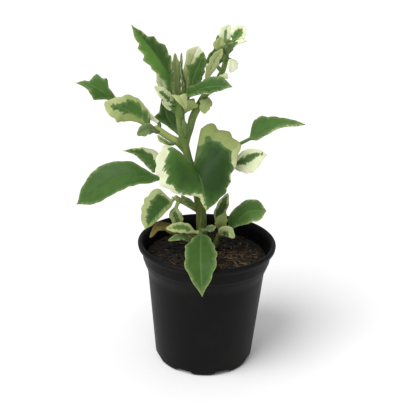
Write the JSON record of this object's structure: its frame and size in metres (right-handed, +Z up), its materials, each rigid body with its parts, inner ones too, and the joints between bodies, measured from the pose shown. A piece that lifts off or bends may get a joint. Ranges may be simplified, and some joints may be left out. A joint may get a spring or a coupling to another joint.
{
  "type": "potted kalanchoe",
  "caption": "Variegated kalanchoe with green and cream scalloped leaves on branching stems, in a round black nursery pot with soil.",
  "frame": {"origin": "centre of the pot's flat underside, where the plant stands", "axes": "+Z up along the pot's axis, -Y towards the side that the plant shows best, +X to that viewer's right"},
  "size_m": [0.1695, 0.1176, 0.2652],
  "materials": {
    "pot_black": "satin",
    "soil_dark": "matte, crumbly potting soil",
    "stem_green": "satin, living green stem",
    "leaf_green": "satin, fleshy leaf",
    "leaf_variegated": "satin, fleshy leaf with cream margin",
    "leaf_cream": "satin, mostly cream leaf",
    "leaf_dry": "matte, dried leaf"
  },
  "bodies": {
    "root": {"pot": "pot_black", "soil": "soil_dark", "main_stem": "stem_green", "side_shoot": "stem_green", "front_shoot": "stem_green", "leaf_crown_tall": "leaf_green", "leaf_crown_cream_left": "leaf_cream", "leaf_crown_edge": "leaf_green", "leaf_crown_cream_back": "leaf_cream", "leaf_crown_cream_broad": "leaf_cream", "leaf_crown_upright": "leaf_green", "leaf_crown_right": "leaf_green", "leaf_crown_small_left": "leaf_variegated", "leaf_crown_front": "leaf_cream", "leaf_crown_ruffle": "leaf_cream", "leaf_fork_back": "leaf_green", "leaf_fork_small": "leaf_green", "leaf_right_hanging": "leaf_cream", "leaf_right_striped": "leaf_cream", "leaf_right_back": "leaf_green", "leaf_right_behind": "leaf_variegated", "leaf_right_droop": "leaf_cream", "leaf_right_front": "leaf_cream", "leaf_top_up": "leaf_cream", "leaf_top_right": "leaf_variegated", "leaf_top_low": "leaf_cream", "leaf_top_front": "leaf_green", "leaf_top_left": "leaf_cream", "leaf_left_variegated": "leaf_variegated", "leaf_left_long": "leaf_green", "leaf_left_ribbon": "leaf_cream", "leaf_left_hanging": "leaf_variegated", "leaf_left_under": "leaf_cream", "leaf_heart": "leaf_variegated", "leaf_upper_right": "leaf_green", "leaf_mid_right": "leaf_variegated", "leaf_large_left": "leaf_green", "leaf_upper_left": "leaf_variegated", "leaf_low_left": "leaf_variegated", "leaf_low_narrow": "leaf_variegated", "leaf_axil": "leaf_green", "leaf_back": "leaf_green", "leaf_crown_rear": "leaf_variegated", "leaf_over_rim": "leaf_green", "leaf_front_left": "leaf_variegated", "leaf_front_low": "leaf_variegated", "leaf_front_small": "leaf_variegated", "leaf_dry": "leaf_dry", "leaf_shoot_up": "leaf_cream", "leaf_shoot_back": "leaf_green", "leaf_shoot_right": "leaf_variegated", "leaf_shoot_low": "leaf_variegated"}
  },
  "joints": []
}
